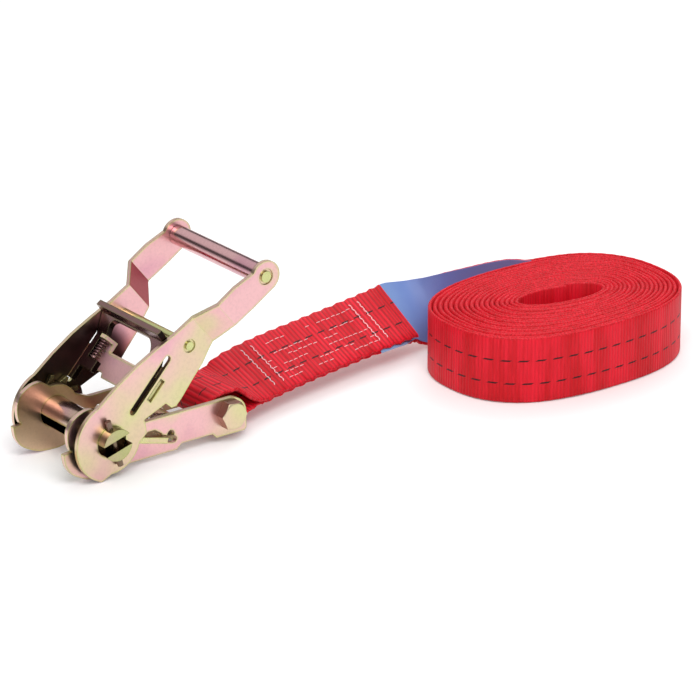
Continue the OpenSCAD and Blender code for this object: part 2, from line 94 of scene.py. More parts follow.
def gridQuads(rows, cols):
    # quads between neighbouring points of a rows x cols grid, with the columns closed to a ring
    i = np.arange(rows - 1)[:, None]
    j = np.arange(cols)[None, :]
    k = (j + 1) % cols
    return np.stack([i * cols + j, i * cols + k, (i + 1) * cols + k, (i + 1) * cols + j], -1).reshape(-1, 4)


def surfacePiece(name, points, quads, caps, maps, sharp):
    # one mesh from points and faces; faces are turned over where the closed shape's volume, the sum of
    # a . (b x c) over its faces, comes out negative
    p = points.reshape(-1, 3)
    a, b, c, d = (p[quads[:, n]] for n in range(4))
    volume = (np.einsum("ij,ij->i", a, np.cross(b, c)) + np.einsum("ij,ij->i", a, np.cross(c, d))).sum()
    faces = quads.tolist() + [list(map(int, cap)) for cap in caps]
    if volume < 0:
        faces = [f[::-1] for f in faces]
    mesh = bpy.data.meshes.new(name)
    mesh.from_pydata(p.tolist(), [], faces)
    mesh.shade_smooth()
    mesh.set_sharp_from_angle(angle=math.radians(sharp))
    corner = np.empty(len(mesh.loops), np.int32)
    mesh.loops.foreach_get("vertex_index", corner)
    for mapName, uv in (maps or {}).items():
        layer = mesh.uv_layers.new(name=mapName)
        layer.uv.foreach_set("vector", uv.reshape(-1, 2)[corner].astype(np.float32).ravel())
    mesh.validate()
    piece = bpy.data.objects.new(name, mesh)
    scene.collection.objects.link(piece)
    return piece


def sweepPiece(name, rings, maps, sharp):
    # rings: (count, around, 3) closed rings joined one to the next, with both ends closed
    count, around = rings.shape[:2]
    caps = [np.arange(around)[::-1], np.arange(around) + (count - 1) * around]
    return surfacePiece(name, rings, gridQuads(count, around), caps, maps, sharp)


def smoothStep(x):
    x = np.clip(x, 0, 1)
    return x * x * (3 - 2 * x)


def stepAlong(x, place):
    # 0 up to the place's first value, and 1 once its second value more is passed
    return smoothStep((x - place[0]) / place[1])


def softNoise(x, seed, octaves=2):
    # sum of sines of x with wavelengths and phases drawn from the seed, about -1..1, the same on each run
    rng = np.random.default_rng(seed)
    total = np.zeros_like(x, dtype=float)
    for n in range(octaves * 3):
        total += np.sin(x * rng.uniform(0.6, 1.6) * 2 ** (n // 3) + rng.uniform(0, 6.28)) / (octaves * 2)
    return total


def throughPoints(table, samples):
    # Catmull-Rom curve through the rows of a table, at parameters 0..rows-1
    t = np.asarray(table, float)
    t = np.vstack([2 * t[0] - t[1], t, 2 * t[-1] - t[-2]])
    i = np.clip(samples.astype(int), 0, len(t) - 4)
    f = (samples - i)[:, None]
    p0, p1, p2, p3 = t[i], t[i + 1], t[i + 2], t[i + 3]
    return 0.5 * (2 * p1 + (p2 - p0) * f + (2 * p0 - 5 * p1 + 4 * p2 - p3) * f ** 2
                  + (3 * p1 - p0 - 3 * p2 + p3) * f ** 3)


# Webbing: one band from the sewn tail, round the bolt's sleeve, back under the tail, and on to the roll

webbing = {
    "width": 0.035,
    "thickness": 0.00195,
    "tailShort": 0.0027,        # how far the tail ends before the seam's solid does
    "tailFade": 0.012,          # length over which the tail is drawn back
    "sewnPitch": 0.0027,        # of the cross ribs where the band is sewn
    "rolledPitch": 0.0019,      # and where it is rolled
    "ribDepth": 0.00024,
    "phaseDrift": 0.12,         # how far the ribs stray from even spacing, in ribs
    "scallop": 0.0008,          # how far the sewn band's edges wave in and out
    "edgeRound": 0.0009,        # radius of the rounded edges, across the band
    "labelRoom": 0.0003,        # that each layer gives the label between them
    "step": 0.00047,            # spacing of the band's rings
    "turns": 18,
    "rollStep": 0.00095,
    "rollThickness": 0.0022,
    "rollRibDepth": 0.0001,
    "rollEdgeWave": 0.00018,
    "rollDrift": 0.0002,        # how far the turns' height strays, plus a swing over every second turn
    "rollSwing": 0.00012,
    "rollLift": 0.0001,
    "rollStray": 0.00007,       # and how far they stray in and out
    "sewnTrim": 0.0005,         # how much narrower the band is than its width, where it is sewn
    "rolledTrim": 0.0008,       # and where it is rolled
}
# where the two layers part past the seam: each place is (start, length) along x
parting = {
    "tailLift": (0.194, 0.019),
    "tailLean": 2.0,            # degrees that the tail leans away
    "drift": 0.0006,            # how far each layer moves away from the middle plane
    "labelIn": (0.176, 0.008),  # where the layers make room for the label
    "labelOut": (0.26, 0.02),   # and where the lead no longer does
    "underLean": 3.0,
    "leanBack": (0.222, 0.014),
    "underDrop": (0.2, 0.012),
    "dropBack": (0.224, 0.02),
    "ribsFade": (0.205, 0.03),  # where the sewn band's ribs turn into the rolled band's
}
boltAt = Vector(joints["sleeve_spin"]["pos_m"])
rollHeight = floorZ + webbing["width"] / 2
# middle plane of the double layer: x, y, z in metres and tilt in degrees, near edge down
sewnRoute = [
    [0.081, 0, -0.0049, 0], [0.086, 0.0009, -0.0045, 9], [0.091, 0.0018, -0.0037, 19],
    [0.097, 0.003, -0.0025, 28], [0.112, 0.006, -0.0014, 30], [0.130, 0.0094, -0.0008, 30],
    [0.150, 0.0128, -0.0005, 29.5], [0.172, 0.0164, -0.0002, 30], [0.193, 0.0196, 0, 32],
    [0.213, 0.023, 0, 38]]
# how far from that plane each layer's own middle lies, at the route's points
layerOut = [0.0078, 0.0052, 0.0026, 0.00104, 0.001, 0.001, 0.001, 0.001, 0.001, 0.001]
leadRoute = [
    [0.219, 0.0233, -0.0014, 40], [0.225, 0.0224, -0.0029, 48], [0.231, 0.0209, -0.0033, 57],
    [0.238, 0.0192, -0.0025, 66], [0.246, 0.018, -0.00195, 74], [0.256, 0.0174, -0.00175, 80],
    [0.268, 0.0169, -0.0017, 83], [0.279, 0.0151, -0.00175, 87]]
rollShape = {
    "middle": (0.2649, -0.0367),
    "halfLength": 0.0695,
    "halfBreadth": 0.049,
    "square": 2.5,              # the oval's power n; 2 is an ellipse
    "holeMiddle": (0.2685, -0.0365),
    "holeHalfLength": 0.023,
    "holeHalfBreadth": 0.0085,
    "holeTurned": -8,
    "start": 68,                # angle at which the lead joins the roll
    "firstStep": 0.0026,        # how far the first turn moves inwards
    "inset": 0.001,             # of the band's middle from the roll's faces
}


def tiltFrame(points, tilt):
    # along = the route's direction; across = (0, cos tilt, sin tilt) less its part along; up = along x across
    along = unitRows(np.gradient(points, axis=0))
    across = np.stack([np.zeros(len(tilt)), np.cos(tilt), np.sin(tilt)], -1)
    across = unitRows(across - (across * along).sum(1, keepdims=True) * along)
    return across, np.cross(along, across)


def rollCentre(s):
    # centre line of the roll after s turns, clockwise from above: a squared oval, (x/a)^n + (y/b)^n = 1,
    # whose half axes shrink turn by turn while its middle, lean and n drift to those of the opening
    r, w = rollShape, webbing
    first = np.minimum(s, 1) * r["firstStep"] + r["inset"]
    rest = np.clip((s - 1) / (w["turns"] - 1), 0, 1)
    deepA = r["halfLength"] - r["holeHalfLength"] - 2 * r["inset"] - r["firstStep"]
    deepB = r["halfBreadth"] - r["holeHalfBreadth"] - 2 * r["inset"] - r["firstStep"]
    a = np.radians(r["start"]) - 2 * np.pi * s
    n = r["square"] + (2 - r["square"]) * rest
    k = (np.abs(np.cos(a)) ** n + np.abs(np.sin(a)) ** n) ** (-1 / n)
    x = (r["halfLength"] - first - deepA * rest) * np.cos(a) * k
    y = (r["halfBreadth"] - first - deepB * rest) * np.sin(a) * k
    turn = np.radians(r["holeTurned"]) * rest
    middleX = r["middle"][0] + (r["holeMiddle"][0] - r["middle"][0]) * rest
    middleY = r["middle"][1] + (r["holeMiddle"][1] - r["middle"][1]) * rest
    return np.stack([middleX + x * np.cos(turn) - y * np.sin(turn),
                     middleY + x * np.sin(turn) + y * np.cos(turn)], -1)


def evenly(points, others, step):
    # resamples a polyline and the values that go with it at even steps of its own length
    length = np.concatenate([[0], np.cumsum(np.linalg.norm(np.diff(points, axis=0), axis=1))])
    at = np.linspace(0, length[-1], int(length[-1] / step) + 1)

    def pick(v):
        return np.stack([np.interp(at, length, v[:, n]) for n in range(v.shape[1])], -1)

    return at, pick(points), [pick(o) for o in others]


def bandRings(centre, across, out, width, thickness, ribs, ribDepth, edgeWave, columns=9):
    # closed ring at each centre: flat faces across the band, rounded edges, thicker on each rib, and edges
    # that stand out by edgeWave
    edge = webbing["edgeRound"]
    top = np.linspace(-0.5, 0.5, columns)
    v = np.concatenate([top, [0.5, 0.5, 0.5], top[::-1], [-0.5, -0.5, -0.5]])
    past = np.concatenate([0 * top, [0.7, 1, 0.7], 0 * top, [-0.7, -1, -0.7]])
    o = np.concatenate([0 * top + 1, [0.62, 0, -0.62], 0 * top - 1, [-0.62, 0, 0.62]])
    flat = width - 2 * edge
    vAt = v[None, :] * flat + past[None, :] * (edge + edgeWave[:, None])
    oAt = o[None, :] * (thickness / 2 - 0.0001 + ribs[:, None] * 0.5 * ribDepth)
    rings = (centre[:, None, :] + across[:, None, :] * vAt[..., None] + out[:, None, :] * oAt[..., None])
    return rings, vAt


def sewnBand():
    # tail, eye, sleeve, under layer, lead and first turn as rows of centre, across and outward vectors
    w, p = webbing, parting
    q = np.linspace(0, len(sewnRoute) - 1, 900)
    route = throughPoints(np.column_stack([sewnRoute, layerOut]), q)
    x = route[:, 0]
    tailLift = stepAlong(x, p["tailLift"])
    room = w["labelRoom"] * stepAlong(x, p["labelIn"])
    n = len(q)
    tilt = np.radians(route[:, 3] - p["tailLean"] * tailLift)
    acrossTail, upTail = tiltFrame(route[:, :3], tilt)
    offset = route[:, 4] + room + p["drift"] * tailLift
    tail = (route[:, :3] + upTail * offset[:, None])[::-1]
    # the lead's last rows stand on the roll's own line, 6 mm before it starts and at its start
    joins = rollCentre(np.array([0, 0.001]))
    way = unitRows(joins[1] - joins[0])
    ends = [[*(joins[0] - way * back + [0, -0.001]), rollHeight, 90] for back in (0.006, 0.0)]
    lead = np.vstack([sewnRoute[-1], leadRoute, ends])
    under = np.vstack([route[:, :4], throughPoints(lead, np.linspace(0, len(lead) - 1, 500))[1:]])
    x = under[:, 0]
    under[:, 3] += p["underLean"] * stepAlong(x, p["tailLift"]) * (1 - stepAlong(x, p["leanBack"]))
    # the last stretch is the roll's own first turn
    s = np.linspace(0, 1, 1500)
    turnXY = rollCentre(s)
    turn = np.column_stack([turnXY, np.full(len(s), rollHeight), np.full(len(s), 90.0)])
    acrossU, upU = tiltFrame(under[:, :3], np.radians(under[:, 3]))
    offsetU = np.concatenate([route[:, 4] + room, np.full(len(under) - n, 0.001 + w["labelRoom"])])
    offsetU[n:] -= w["labelRoom"] * stepAlong(x[n:], p["labelOut"])
    offsetU = offsetU + p["drift"] * stepAlong(x, p["underDrop"]) * (1 - stepAlong(x, p["dropBack"]))
    below = under[:, :3] - upU * offsetU[:, None]
    phi = np.radians(np.linspace(90, 270, 120))[1:-1]
    loop = np.column_stack([boltAt.x + layerOut[0] * np.cos(phi), 0 * phi,
                            boltAt.z + layerOut[0] * np.sin(phi)])
    centre = np.vstack([tail, loop, below, turn[1:, :3]])
    acrossAll = np.vstack([acrossTail[::-1], np.tile([0, 1.0, 0], (len(phi), 1)), acrossU,
                           np.tile([0, 0, 1.0], (len(s) - 1, 1))])
    # 0 tail, 1 round the sleeve, 2 under layer and lead, 3 first turn
    part = np.repeat([0.0, 1.0, 2.0, 3.0], [n, len(phi), len(below), len(s) - 1])
    at, centre, (across, part) = evenly(centre, [acrossAll, part[:, None]], w["step"])
    # smooth the joints between stretches a little, ends kept
    reach = 4
    kernel = np.ones(2 * reach + 1) / (2 * reach + 1)
    for k in range(3):
        for field in (centre, across):
            smooth = np.convolve(np.pad(field[:, k], reach, mode="edge"), kernel, "valid")
            field[2 * reach:-2 * reach, k] = smooth[2 * reach:-2 * reach]
    along = unitRows(np.gradient(centre, axis=0))
    across = unitRows(across - (across * along).sum(1, keepdims=True) * along)
    out = np.cross(across, along)
    return at, centre, across, out, part[:, 0]


def buildSewnWebbing():
    w = webbing
    at, centre, across, out, part = sewnBand()
    # 1 where the band is sewn, 0 where it is rolled
    sewn = 1 - stepAlong(centre[:, 0], parting["ribsFade"]) * (part > 1.5) - (part > 2.5) * 1.0
    sewn = np.clip(sewn, 0, 1)
    pitch = w["rolledPitch"] + (w["sewnPitch"] - w["rolledPitch"]) * sewn
    phase = np.concatenate([[0], np.cumsum(np.diff(at) / pitch[1:])])
    phase = phase + w["phaseDrift"] * softNoise(at * 260, 3)
    ribs = (0.5 + 0.5 * np.cos(2 * np.pi * phase)) * (0.35 + 0.65 * sewn)
    # the edges wave once for every three ribs
    edgeWave = (w["scallop"] * (0.15 + 0.85 * sewn)
                * (0.5 * np.cos(2 * np.pi * phase / 3) + 0.12 * softNoise(at * 1500, 4)))
    centre[:, 2] += np.where(part > 2.5, w["rollDrift"] * softNoise(at * 60, 5), 0)
    rings, v = bandRings(centre, across, out, w["width"] - w["sewnTrim"], w["thickness"], ribs,
                         w["ribDepth"], edgeWave)
    along = unitRows(np.gradient(centre, axis=0))
    drawn = w["tailShort"] * (1 - smoothStep(at / w["tailFade"]))[:, None]
    rings = rings + along[:, None, :] * drawn[..., None]
    columns = v.shape[1]
    u = np.repeat(at[:, None] + drawn, columns, 1)
    rib = np.repeat(np.stack([phase, sewn], -1)[:, None, :], columns, 1)
    maps = {"strapMap": np.stack([u, v], -1), "ribMap": rib}
    piece = sweepPiece("webbing_sewn", rings, maps, 60)
    return piece, at, centre, across, out, part


def buildRolledWebbing(lengthBefore):
    # turns 1 to the last; their height and radius drift by a fraction of a mm, as loosely wound webbing's
    # do, and every second ring is thicker
    w = webbing
    s = np.linspace(1, w["turns"], 40000)
    high = (rollHeight + w["rollDrift"] * softNoise(s * 5.3, 11, 3) + w["rollSwing"] * np.sin(s * np.pi)
            + w["rollLift"])
    at, centre, _ = evenly(np.column_stack([rollCentre(s), high]), [], w["rollStep"])
    along = unitRows(np.gradient(centre * [1, 1, 0], axis=0))
    across = np.tile([0, 0, 1.0], (len(at), 1))
    out = np.cross(across, along)
    radial = w["rollStray"] * softNoise(at * 90, 12, 3)
    centre = centre + out * radial[:, None]
    rng = np.random.default_rng(21)
    ribs = np.where(np.arange(len(at)) % 2 == 0, 1.0, 0.0)
    edgeWave = rng.uniform(-w["rollEdgeWave"], w["rollEdgeWave"], len(at)) - 0.0001
    rings, v = bandRings(centre, across, out, w["width"] - w["rolledTrim"], w["rollThickness"], ribs,
                         w["rollRibDepth"], edgeWave, 5)
    u = np.repeat((at + lengthBefore)[:, None], v.shape[1], 1)
    maps = {"strapMap": np.stack([u, v], -1),
            "ribMap": np.stack([u / w["rolledPitch"], 0 * u], -1)}
    return sweepPiece("webbing_rolled", rings, maps, 60), at[-1]


sewnPiece, sewnAt, sewnCentre, sewnAcross, sewnOut, sewnPart = buildSewnWebbing()
rolledPiece, rolledLength = buildRolledWebbing(sewnAt[-1])
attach(sewnPiece, "frame")
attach(rolledPiece, "frame")
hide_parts("strap_loop", "strap_eye_upper", "strap_eye_lower", "strap_seam", "strap_lead")
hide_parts("strap_roll")
print("webbing made:", round(float(sewnAt[-1] + rolledLength), 3), "m long")

# Label: a strip of blue cloth, sewn in between the tail and the under layer, then along the lead's inner side

labelCloth = {
    "width": 0.0342,
    "thickness": 0.0005,
    "startX": 0.183,
    "endX": 0.2935,
    # its offset across the webbing under the tail, past it, and at the roll; (start, length) along x of the
    # two changes
    "askew": (-0.0012, 0.0010, 0.0001),
    "climbs": (0.198, 0.016),
    "settles": (0.222, 0.022),
    "gap": 0.0002,              # between the label and the webbing it lies on
    "cornerCut": 0.006,
    "cornerDrop": 0.16,         # share of the width that the cut takes off the upper edge
    "buckle": 0.00012,
}


def buildLabel():
    # a strip of rings set off from the webbing's own by the gap, its middle bulging by a drifting noise
    c = labelCloth
    first = np.argmax((sewnPart > 1.5) & (sewnCentre[:, 0] > c["startX"]))
    last = np.argmax((sewnPart > 1.5) & (sewnCentre[:, 0] > c["endX"]))
    pick = slice(first, last, 3)
    centre, across, out = sewnCentre[pick], sewnAcross[pick], sewnOut[pick]
    x = centre[:, 0]
    lift = webbing["thickness"] / 2 + c["gap"] + c["thickness"] / 2
    centre = centre - out * lift
    top = np.linspace(-0.5, 0.5, 13)
    v = np.concatenate([top, top[::-1]])
    o = np.concatenate([0 * top + 0.5, 0 * top - 0.5])
    length = sewnAt[pick] - sewnAt[first]
    upper = 0.5 - smoothStep((length - length[-1] + c["cornerCut"]) / c["cornerCut"]) * c["cornerDrop"]
    low, high, rolled = c["askew"]
    climb = low + (high - low) * stepAlong(x, c["climbs"]) + (rolled - high) * stepAlong(x, c["settles"])
    vAt = np.minimum(v[None, :], upper[:, None]) * c["width"] + climb[:, None]
    buckle = c["buckle"] * softNoise(length * 160, 31)[:, None] * np.sin((v[None, :] + 0.5) * np.pi)
    oAt = o[None, :] * c["thickness"] - np.abs(buckle)
    rings = centre[:, None, :] + across[:, None, :] * vAt[..., None] + out[:, None, :] * oAt[..., None]
    u = np.repeat(length[:, None], len(v), 1)
    return sweepPiece("label_strip", rings, {"labelMap": np.stack([u, vAt], -1)}, 50), length[-1]


labelPiece, labelLength = buildLabel()
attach(labelPiece, "frame")
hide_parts("label")
print("label made:", round(float(labelLength), 3), "m long")

# Sewing thread: two cross lines of zigzag stitches at each end of the seam, and rows along it between them

thread = {
    "crossRadius": 0.00026,
    "rowRadius": 0.00016,
    "crossLines": [0.1103, 0.1168, 0.1862, 0.1920],
    "crossHalf": 0.0122,
    "crossPitch": 0.0016,
    "crossSlant": 0.55,         # of its zigzag, forward for each step across
    "rows": [-0.0119, -0.0082, -0.0035, 0.0006, 0.0042, 0.0109],
    "rowPitch": 0.0036,
    "rowStitch": 0.0029,
    "stray": 0.0003,            # how far a row's stitch lies from its place
    "missing": 0.12,            # share of a row's stitches that are left out one by one
}


def stitchShapes(centre, along, side, up, length, radius):
    # each stitch: rings along its length, radius * sqrt(1 - t^8) wide, its ends dipping into the cloth by t^4
    t = np.array([-1, -0.9, -0.45, 0, 0.45, 0.9, 1.0])
    a = np.linspace(0, 2 * np.pi, 6, endpoint=False)
    wide = np.sqrt(np.maximum(1 - t ** 8, 0.02))
    ring = np.stack([np.cos(a), np.sin(a)], -1)
    middle = (centre[:, None, :] + along[:, None, :] * (t[None, :, None] * length[:, None, None] / 2)
              - up[:, None, :] * (t[None, :, None] ** 4 * radius[:, None, None] * 1.2))
    return (middle[:, :, None, :] + (side[:, None, None, :] * ring[None, None, :, 0, None]
            + up[:, None, None, :] * ring[None, None, :, 1, None] * 0.8)
            * (radius[:, None] * wide[None, :])[:, :, None, None])


def buildStitches():
    # each spot is its place along x and across the webbing, its slant, and 1 on a cross line; the spots are
    # laid on the outer faces of the tail and of the under layer
    k = thread
    rng = np.random.default_rng(5)
    spots = []
    for line in k["crossLines"]:
        v = np.arange(-k["crossHalf"], k["crossHalf"], k["crossPitch"])
        zig = np.where(np.arange(len(v)) % 2 == 0, 1, -1)
        y = v + k["crossPitch"] / 2
        spots.append(np.column_stack([line + 0 * v, y, k["crossSlant"] * zig, 1 + 0 * v]))
    for row in k["rows"]:
        x = np.arange(k["crossLines"][1] + 0.002, k["crossLines"][2] - 0.001, k["rowPitch"])
        x = x + rng.uniform(-k["stray"], k["stray"], len(x))
        keep = (rng.uniform(0, 1, len(x)) > k["missing"]) & (softNoise(x * 150 + row * 900, 8) > -0.3)
        y = row + rng.uniform(-k["stray"], k["stray"], len(x))
        spots.append(np.column_stack([x, y, 0 * x, 0 * x])[keep])
    spots = np.vstack(spots)
    shapes = []
    for layer in (0, 2):
        pick = np.flatnonzero((np.abs(sewnPart - layer) < 0.1) & (sewnCentre[:, 0] > 0.1))
        order = pick[np.argsort(sewnCentre[pick, 0])]
        xs = sewnCentre[order, 0]
        centre, across, out = (np.stack([np.interp(spots[:, 0], xs, field[order, n]) for n in range(3)], -1)
                               for field in (sewnCentre, sewnAcross, sewnOut))
        across, out = unitRows(across), unitRows(out)
        along = np.cross(across, out)
        isCross = spots[:, 3] > 0.5
        way = unitRows(np.where(isCross[:, None], across + along * spots[:, 2:3], along))
        side = np.cross(out, way)
        size = np.where(isCross, k["crossPitch"] * 1.1, k["rowStitch"])
        radius = np.where(isCross, k["crossRadius"], k["rowRadius"])
        lift = webbing["thickness"] / 2 + webbing["ribDepth"] * 0.2 + radius * 0.3
        middle = centre + across * spots[:, 1:2] + out * lift[:, None]
        shapes.append(stitchShapes(middle, way, side, out, size, radius))
    shapes = np.concatenate(shapes)
    count, rows, around = shapes.shape[:3]
    one = gridQuads(rows, around)
    first = (np.arange(count) * rows * around)[:, None, None]
    quads = (one[None] + first).reshape(-1, 4)
    ends = np.stack([np.arange(around)[::-1], np.arange(around) + (rows - 1) * around])
    caps = (ends[None] + first).reshape(-1, around)
    return surfacePiece("sewing_thread", shapes, quads, caps, None, 60)


threadPiece = buildStitches()
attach(threadPiece, "frame")
print("sewing thread made")

# Springs: round wire on a helix, with its end turns closed up

springs = {
    "wire": 0.0008,
    "closed": 0.75,             # of a turn, closed up at each end
    "closedRise": 1.6,          # wire thicknesses that the closed parts rise by
    "perTurn": 26,
    "around": 10,
    # outer diameter, turns, and the share of the length that is kept closed up, on each body
    "frame": (0.011, 7.5, 0.67),
    "handle": (0.005, 8, 0.53),
}


def coilRings(start, axis, length, outer, turns):
    # t 0..1 along the helix; the pitch is near zero in the closed parts, and even between them
    d = springs
    wire, closedRise = d["wire"], d["closedRise"]
    count = int(turns * d["perTurn"]) + 1
    t = np.linspace(0, 1, count)
    w = np.clip((t * turns - d["closed"]) / (turns - 2 * d["closed"]), 0, 1)
    rise = wire * (t * closedRise) + (length - wire - wire * closedRise) * w
    rise = rise * (length - wire) / rise[-1] + wire / 2
    angle = 2 * np.pi * turns * t
    axis = np.asarray(axis, float) / np.linalg.norm(axis)
    sideA = np.cross(axis, [0, 1.0, 0])
    sideA /= np.linalg.norm(sideA)
    sideB = np.cross(axis, sideA)
    r = (outer - wire) / 2
    radial = np.cos(angle)[:, None] * sideA + np.sin(angle)[:, None] * sideB
    centre = np.asarray(start, float) + axis * rise[:, None] + radial * r
    along = unitRows(np.gradient(centre, axis=0))
    other = np.cross(along, radial)
    a = np.linspace(0, 2 * np.pi, d["around"], endpoint=False)
    return (centre[:, None, :] + (radial[:, None, :] * np.cos(a)[None, :, None]
            + other[:, None, :] * np.sin(a)[None, :, None]) * wire / 2)


def springBetween(name, node, joint, body):
    # the spring fills its node's length along the joint's axis
    outer, turns, keep = springs[body]
    axis = Vector(joints[joint]["axis"])
    low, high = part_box(node)
    middle = (low + high) / 2
    mesh = nodes[node].data
    p = np.empty(len(mesh.vertices) * 3)
    mesh.vertices.foreach_get("co", p)
    reach = (p.reshape(-1, 3) - np.array(middle)) @ np.array(axis)
    start = middle + axis * float(reach.min())
    piece = sweepPiece(name, coilRings(start, axis, float(np.ptp(reach)), outer, turns), None, 60)
    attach(piece, body)
    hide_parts(node)
    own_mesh(piece)
    return piece


springPieces = [
    springBetween("frame_pawl_coil", "frame_pawl_spring", "frame_pawl_slide", "frame"),
    springBetween("handle_pawl_coil_near", "pawl_spring_near", "handle_pawl_slide", "handle"),
    springBetween("handle_pawl_coil_far", "pawl_spring_far", "handle_pawl_slide", "handle"),
]
print("springs made")

# Anchor bolt and nut: chamfered hexagons and a threaded end

boltSet = {
    "flats": 0.013,
    "headHeight": 0.0057,
    "diameter": 0.008,
    "headTurned": 25,
    "nutTurned": 10,
    "threadPitch": 0.00125,
    "threadDepth": 0.00065,
    "threadStart": 0.0215,
    "tipLength": 0.0012,        # without thread
    "chamferFace": 0.96,        # the flat face's share of the hexagon's flats
    "chamferSlope": 1.73,       # tangent of 60 degrees
}


def hexRings(turned, bore, bothEnds):
    # radius = the smaller of a hexagon, half flats / cos(angle to the nearest flat), and a 30 degree cone at
    # its top, or at both ends
    b = boltSet
    height, flats = b["headHeight"], b["flats"]
    angle = np.linspace(0, 2 * np.pi, 96, endpoint=False)
    fold = (angle + np.pi / 6) % (np.pi / 3) - np.pi / 6
    hexagon = flats / 2 / np.cos(fold)
    z = np.concatenate([np.linspace(0, 0.16, 7), np.linspace(0.3, 0.7, 3), np.linspace(0.84, 1, 7)]) * height
    limit = flats / 2 * b["chamferFace"] + (height - z) * b["chamferSlope"]
    if bothEnds:
        limit = np.minimum(limit, flats / 2 * b["chamferFace"] + z * b["chamferSlope"])
    radius = np.minimum(hexagon[None, :], limit[:, None])
    rows = [(bore, 0 * angle), *[(r, h + 0 * angle) for r, h in zip(radius, z)], (bore, height + 0 * angle)]
    angle = angle + math.radians(turned)
    return np.stack([np.stack([r * np.cos(angle), h, r * np.sin(angle)], -1) for r, h in rows])


def buildBolt():
    b = boltSet
    low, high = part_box("anchor_bolt")
    nearFace = low.y + b["headHeight"]
    angle = np.linspace(0, 2 * np.pi, 96, endpoint=False)
    head = hexRings(b["headTurned"], b["diameter"] / 2, False)
    head[..., 1] = nearFace - head[..., 1]
    head = head[1:]                                      # the shank takes the bore's place
    face = head[-1:] * [1, 0, 1] * 0.02 + [0, low.y, 0]   # the head's flat face closes on its middle
    rise = np.arange(b["threadStart"], high.y - b["tipLength"], b["threadPitch"] / 8)
    smooth = np.array([nearFace, nearFace + 0.004, b["threadStart"] - 0.001])
    y = np.concatenate([smooth, rise])
    full = np.clip((rise - b["threadStart"]) / b["threadPitch"], 0, 1)
    depth = np.concatenate([[0, 0, 0], full]) * b["threadDepth"]
    # thread: depth times a triangle wave of angle / 2 pi + y / pitch
    wave = np.abs(((angle[None, :] / (2 * np.pi) - y[:, None] / b["threadPitch"]) % 1) * 2 - 1)
    radius = b["diameter"] / 2 - depth[:, None] * wave
    heights = np.repeat(y[:, None], len(angle), 1)
    shank = np.stack([radius * np.cos(angle), heights, radius * np.sin(angle)], -1)
    tip = np.stack([shank[-1] * [0.8, 0, 0.8] + [0, high.y - 0.0002, 0],
                    shank[-1] * [0.1, 0, 0.1] + [0, high.y, 0]])
    rings = np.concatenate([face, head[::-1], shank, tip])
    rings = rings + [boltAt.x, 0, boltAt.z]
    return sweepPiece("anchor_bolt_threaded", rings, None, 25)


def buildNut():
    b = boltSet
    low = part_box("anchor_nut")[0]
    rings = hexRings(b["nutTurned"], b["diameter"] / 2 + 0.00005, True)
    rings[..., 1] += low.y
    rings = np.concatenate([rings, rings[:1]]) + [boltAt.x, 0, boltAt.z]
    return surfacePiece("anchor_nut_chamfered", rings, gridQuads(len(rings), rings.shape[1]), (), None, 25)


boltPiece, nutPiece = buildBolt(), buildNut()
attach(boltPiece, "frame")
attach(nutPiece, "frame")
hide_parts("anchor_bolt")
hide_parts("anchor_nut")
print("bolt and nut made")

# Finishes


def fillRamp(band, stops):
    # stops are (position, colour), first to last
    for element, (at, colour) in zip(band.elements, (stops[0], stops[-1])):
        element.position, element.color = at, colour
    for at, colour in stops[1:-1]:
        band.elements.new(at).color = colour


class Graph:
    # small helper that adds nodes to one material and links them by name
    def __init__(self, name):
        self.material = bpy.data.materials.new(name)
        self.material.use_nodes = True
        self.tree = self.material.node_tree
        self.tree.nodes.clear()
        self.out = self.add("ShaderNodeOutputMaterial")

    def add(self, kind, settings=None, **inputs):
        node = self.tree.nodes.new(kind)
        for key, value in (settings or {}).items():
            setattr(node, key, value)
        for key, value in inputs.items():
            self.put(node, key, value)
        return node

    def put(self, node, key, value):
        # "i0" is an input's number; any other key is its name
        numbered = key[0] == "i" and key[1:].isdigit()
        socket = node.inputs[int(key[1:]) if numbered else key.replace("_", " ")]
        if isinstance(value, bpy.types.NodeSocket):
            self.tree.links.new(value, socket)
        else:
            socket.default_value = value

    def maths(self, kind, a, b=0.0, c=None):
        node = self.add("ShaderNodeMath", {"operation": kind}, i0=a, i1=b)
        if c is not None:
            self.put(node, "i2", c)
        return node.outputs[0]

    def blend(self, factor, a, b, kind="MIX"):
        node = self.add("ShaderNodeMix", {"data_type": "RGBA", "blend_type": kind})
        self.put(node, "i0", factor)
        self.put(node, "i6", a)
        self.put(node, "i7", b)
        return node.outputs[2]

    def ramp(self, factor, stops):
        node = self.add("ShaderNodeValToRGB", None, Fac=factor)
        fillRamp(node.color_ramp, stops)
        return node.outputs[0]

    def noise(self, place, scale, detail, rough):
        node = self.add("ShaderNodeTexNoise", None, Scale=scale, Detail=detail, Roughness=rough, Vector=place)
        return node.outputs[0]

    def vector(self, x, y, z=0.0):
        return self.add("ShaderNodeCombineXYZ", None, X=x, Y=y, Z=z).outputs[0]

    def split(self, vector):
        return self.add("ShaderNodeSeparateXYZ", None, Vector=vector).outputs

    def uvMap(self, name):
        return self.split(self.add("ShaderNodeUVMap", {"uv_map": name}).outputs[0])

    def bump(self, strength, distance, height, **more):
        node = self.add("ShaderNodeBump", None, Strength=strength, Distance=distance, Height=height, **more)
        return node.outputs[0]

    def surface(self, colour, roughness, normal, **more):
        shader = self.add("ShaderNodeBsdfPrincipled", None, Base_Color=colour, Roughness=roughness,
                          Normal=normal, **more)
        self.put(self.out, "i0", shader.outputs[0])
        return self.material


def rgb(r, g, b):
    # sRGB 0..255 to linear
    v = np.array([r, g, b]) / 255
    v = np.where(v <= 0.04045, v / 12.92, ((v + 0.055) / 1.055) ** 2.4)
    return (*map(float, v), 1.0)


